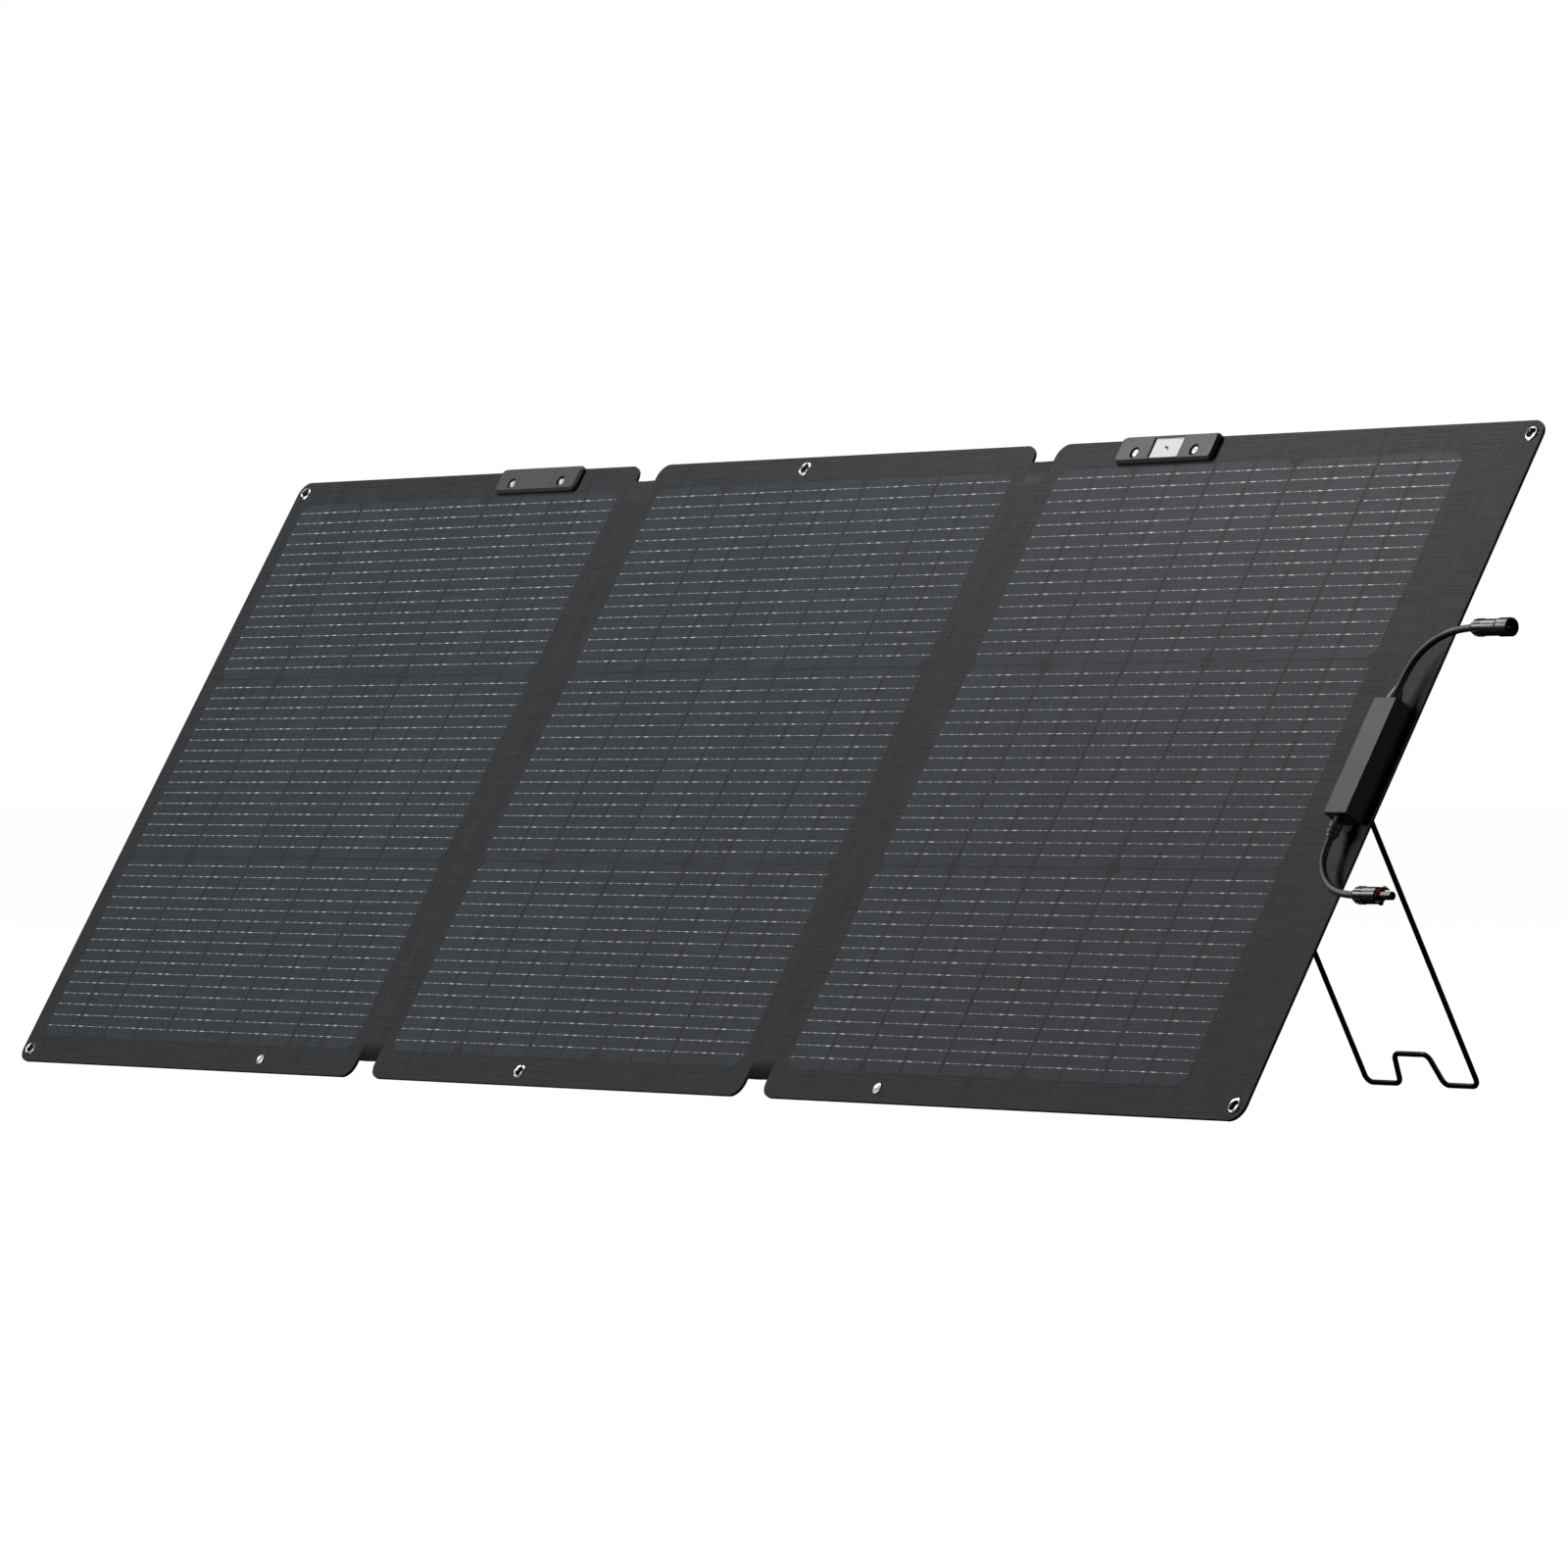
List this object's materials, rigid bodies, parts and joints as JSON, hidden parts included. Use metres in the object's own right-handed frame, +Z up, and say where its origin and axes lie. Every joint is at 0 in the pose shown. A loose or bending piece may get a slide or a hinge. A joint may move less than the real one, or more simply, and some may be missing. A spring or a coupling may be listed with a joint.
{
  "type": "folding solar panel",
  "caption": "Tri-fold flat solar panel that leans back on hinged wire kickstands, with a junction box and two short leads at its right edge.",
  "frame": {"origin": "on the ground, below the centre of the unfolded panels and their kickstands, with the leads and connectors left out", "axes": "+X along the row of panels, towards the junction box; +Y towards the back, where the kickstands reach; +Z up"},
  "size_m": [1.7127, 0.5702, 0.519],
  "materials": {
    "front_film": "embossed matt film",
    "encapsulant": "satin",
    "cell": "satin silicon",
    "cell_wire": "tinned",
    "board": "satin",
    "back_fabric": "coarse weave",
    "ribbon": "satin copper",
    "eyelet": "satin",
    "washer": "satin",
    "plate": "fine-grained moulding",
    "bracket": "fine-grained moulding",
    "rivet": "satin",
    "guide_target": "satin white",
    "guide_pin": "gloss",
    "stand_wire": "black powder coat",
    "box": "fine-grained moulding",
    "gasket": "matt",
    "circuit": "satin",
    "diode": "matt",
    "terminal": "satin",
    "core": "bare copper",
    "gland": "matt",
    "sheath": "semi-matt",
    "connector": "satin moulding",
    "contact": "tinned",
    "seal": "semi-matt"
  },
  "bodies": {
    "middle_panel": {"middle_front_film": "front_film", "middle_encapsulant": "encapsulant", "middle_cells": "cell", "middle_cell_wires": "cell_wire", "middle_board": "board", "middle_back_fabric": "back_fabric", "middle_eyelets": "eyelet", "middle_eyelet_washers": "washer", "left_fold_film": "front_film", "right_fold_film": "front_film", "left_fold_fabric": "back_fabric", "right_fold_fabric": "back_fabric", "fold_ribbons": "ribbon"},
    "left_panel": {"left_front_film": "front_film", "left_encapsulant": "encapsulant", "left_cells": "cell", "left_cell_wires": "cell_wire", "left_board": "board", "left_back_fabric": "back_fabric", "left_eyelets": "eyelet", "left_eyelet_washers": "washer", "left_front_plate": "plate", "left_bracket": "bracket", "left_rivets": "rivet", "left_foot_clip": "bracket"},
    "right_panel": {"right_front_film": "front_film", "right_encapsulant": "encapsulant", "right_cells": "cell", "right_cell_wires": "cell_wire", "right_board": "board", "right_back_fabric": "back_fabric", "right_eyelets": "eyelet", "right_eyelet_washers": "washer", "guide_plate": "plate", "guide_target": "guide_target", "guide_pin": "guide_pin", "right_bracket": "bracket", "right_rivets": "rivet", "right_foot_clip": "bracket", "junction_base": "box", "junction_gasket": "gasket", "junction_cover": "box", "circuit_board": "circuit", "bypass_diodes": "diode", "terminal_blocks": "terminal", "lead_cores": "core", "upper_gland": "gland", "lower_gland": "gland", "upper_lead": "sheath", "lower_lead": "sheath", "cable_nuts": "connector", "socket_body": "connector", "connector_contacts": "contact", "plug_body": "connector", "plug_seal": "seal"},
    "left_stand": {"left_kickstand": "stand_wire"},
    "right_stand": {"right_kickstand": "stand_wire"},
    "latch_upper": {"plug_latch_upper": "connector"},
    "latch_lower": {"plug_latch_lower": "connector"}
  },
  "joints": [
    {"name": "left_fold", "type": "hinge", "parent": "middle_panel", "child": "left_panel", "pos_m": [-0.29375, -0.13526, 0.2604], "axis": [0, 0.5098, 0.8603], "range_deg": [0, 180]},
    {"name": "right_fold", "type": "hinge", "parent": "middle_panel", "child": "right_panel", "pos_m": [0.23775, -0.13896, 0.26259], "axis": [0, -0.5098, -0.8603], "range_deg": [0, 179]},
    {"name": "left_stand_hinge", "type": "hinge", "parent": "left_panel", "child": "left_stand", "pos_m": [-0.4475, 0.01545, 0.49569], "axis": [-1, 0, 0], "range_deg": [0, 59.1]},
    {"name": "right_stand_hinge", "type": "hinge", "parent": "right_panel", "child": "right_stand", "pos_m": [0.3915, 0.01545, 0.49569], "axis": [-1, 0, 0], "range_deg": [0, 59.1]},
    {"name": "upper_latch_press", "type": "hinge", "parent": "right_panel", "child": "latch_upper", "pos_m": [0.8781, -0.19731, 0.16902], "axis": [0, 0.8603, -0.5098], "range_deg": [0, 6.5], "stiffness_Nm_per_rad": 0.8},
    {"name": "lower_latch_press", "type": "hinge", "parent": "right_panel", "child": "latch_lower", "pos_m": [0.8781, -0.20363, 0.15835], "axis": [0, -0.8603, 0.5098], "range_deg": [0, 6.5], "stiffness_Nm_per_rad": 0.8}
  ]
}
